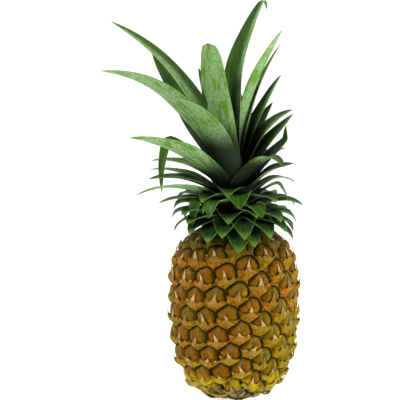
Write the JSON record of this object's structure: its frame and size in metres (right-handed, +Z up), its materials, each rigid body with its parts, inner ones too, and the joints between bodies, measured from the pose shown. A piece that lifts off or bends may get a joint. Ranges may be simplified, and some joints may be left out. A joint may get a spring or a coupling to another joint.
{
  "type": "pineapple",
  "caption": "Whole ripe pineapple standing upright: barrel-shaped fruit of spiralling spined eyes, a spreading crown of long arching leaves, and a short cut stalk end.",
  "frame": {"origin": "centre of the cut face of the stalk end, in the plane that the fruit stands on", "axes": "+Z up the axis of the fruit and through the crown, -Y towards the side seen in the picture, +X to that view's right"},
  "size_m": [0.188, 0.1573, 0.381],
  "materials": {
    "rind": "satin",
    "leaf": "satin",
    "cut_stalk": "matte"
  },
  "bodies": {
    "root": {"fruit": "rind", "crown": "leaf", "stalk": "cut_stalk"}
  },
  "joints": []
}
